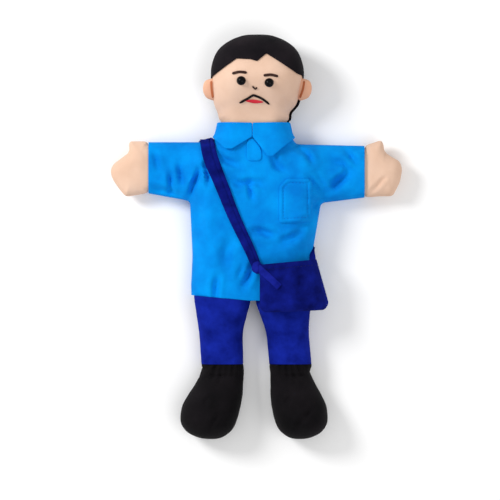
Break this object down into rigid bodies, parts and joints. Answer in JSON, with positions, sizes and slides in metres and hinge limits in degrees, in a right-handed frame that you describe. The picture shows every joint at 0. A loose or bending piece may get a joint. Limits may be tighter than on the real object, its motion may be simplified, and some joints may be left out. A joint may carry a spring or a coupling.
{
  "type": "glove puppet",
  "caption": "Cloth glove puppet of a man in a blue shirt with a shoulder bag; a hand enters the body from below, a finger fills the head and two fingers the hands.",
  "frame": {"origin": "centre of the bounding box at its lowest plane, the surface that the puppet lies on", "axes": "+Y towards the top of the head, +X to the right as seen from the front, +Z out of the puppet's front, so it lies on its back"},
  "size_m": [0.2796, 0.3854, 0.0627],
  "materials": {
    "shirt_cotton": "soft brushed plain-weave cotton",
    "skin_cotton": "matt plain-weave cotton",
    "ear_cotton": "matt plain-weave cotton",
    "hair_cotton": "matt black twill",
    "eye_bead": "polished bead",
    "brow_thread": "stitched thread",
    "black_thread": "stitched thread",
    "mouth_cloth": "satin-stitched thread",
    "trouser_velour": "short-pile velour",
    "bag_velour": "short-pile velour",
    "shoe_cotton": "matt black cotton"
  },
  "bodies": {
    "root": {"head": "skin_cotton", "finger_sleeve": "skin_cotton", "hair_back": "hair_cotton", "hair_front": "hair_cotton", "ear_left": "ear_cotton", "ear_right": "ear_cotton", "eye_left": "eye_bead", "eye_right": "eye_bead", "brow_left": "brow_thread", "brow_right": "brow_thread", "nose": "brow_thread", "moustache": "black_thread", "mouth": "mouth_cloth", "shirt_front": "shirt_cotton", "shirt_back": "shirt_cotton", "collar_left": "shirt_cotton", "collar_right": "shirt_cotton", "collar_band": "shirt_cotton", "neck_tab": "shirt_cotton", "chest_pocket": "shirt_cotton", "hand_left": "skin_cotton", "hand_right": "skin_cotton", "trouser_leg_left": "trouser_velour", "trouser_leg_right": "trouser_velour", "shoe_left": "shoe_cotton", "shoe_right": "shoe_cotton", "bag": "bag_velour", "bag_strap": "bag_velour"}
  },
  "joints": []
}
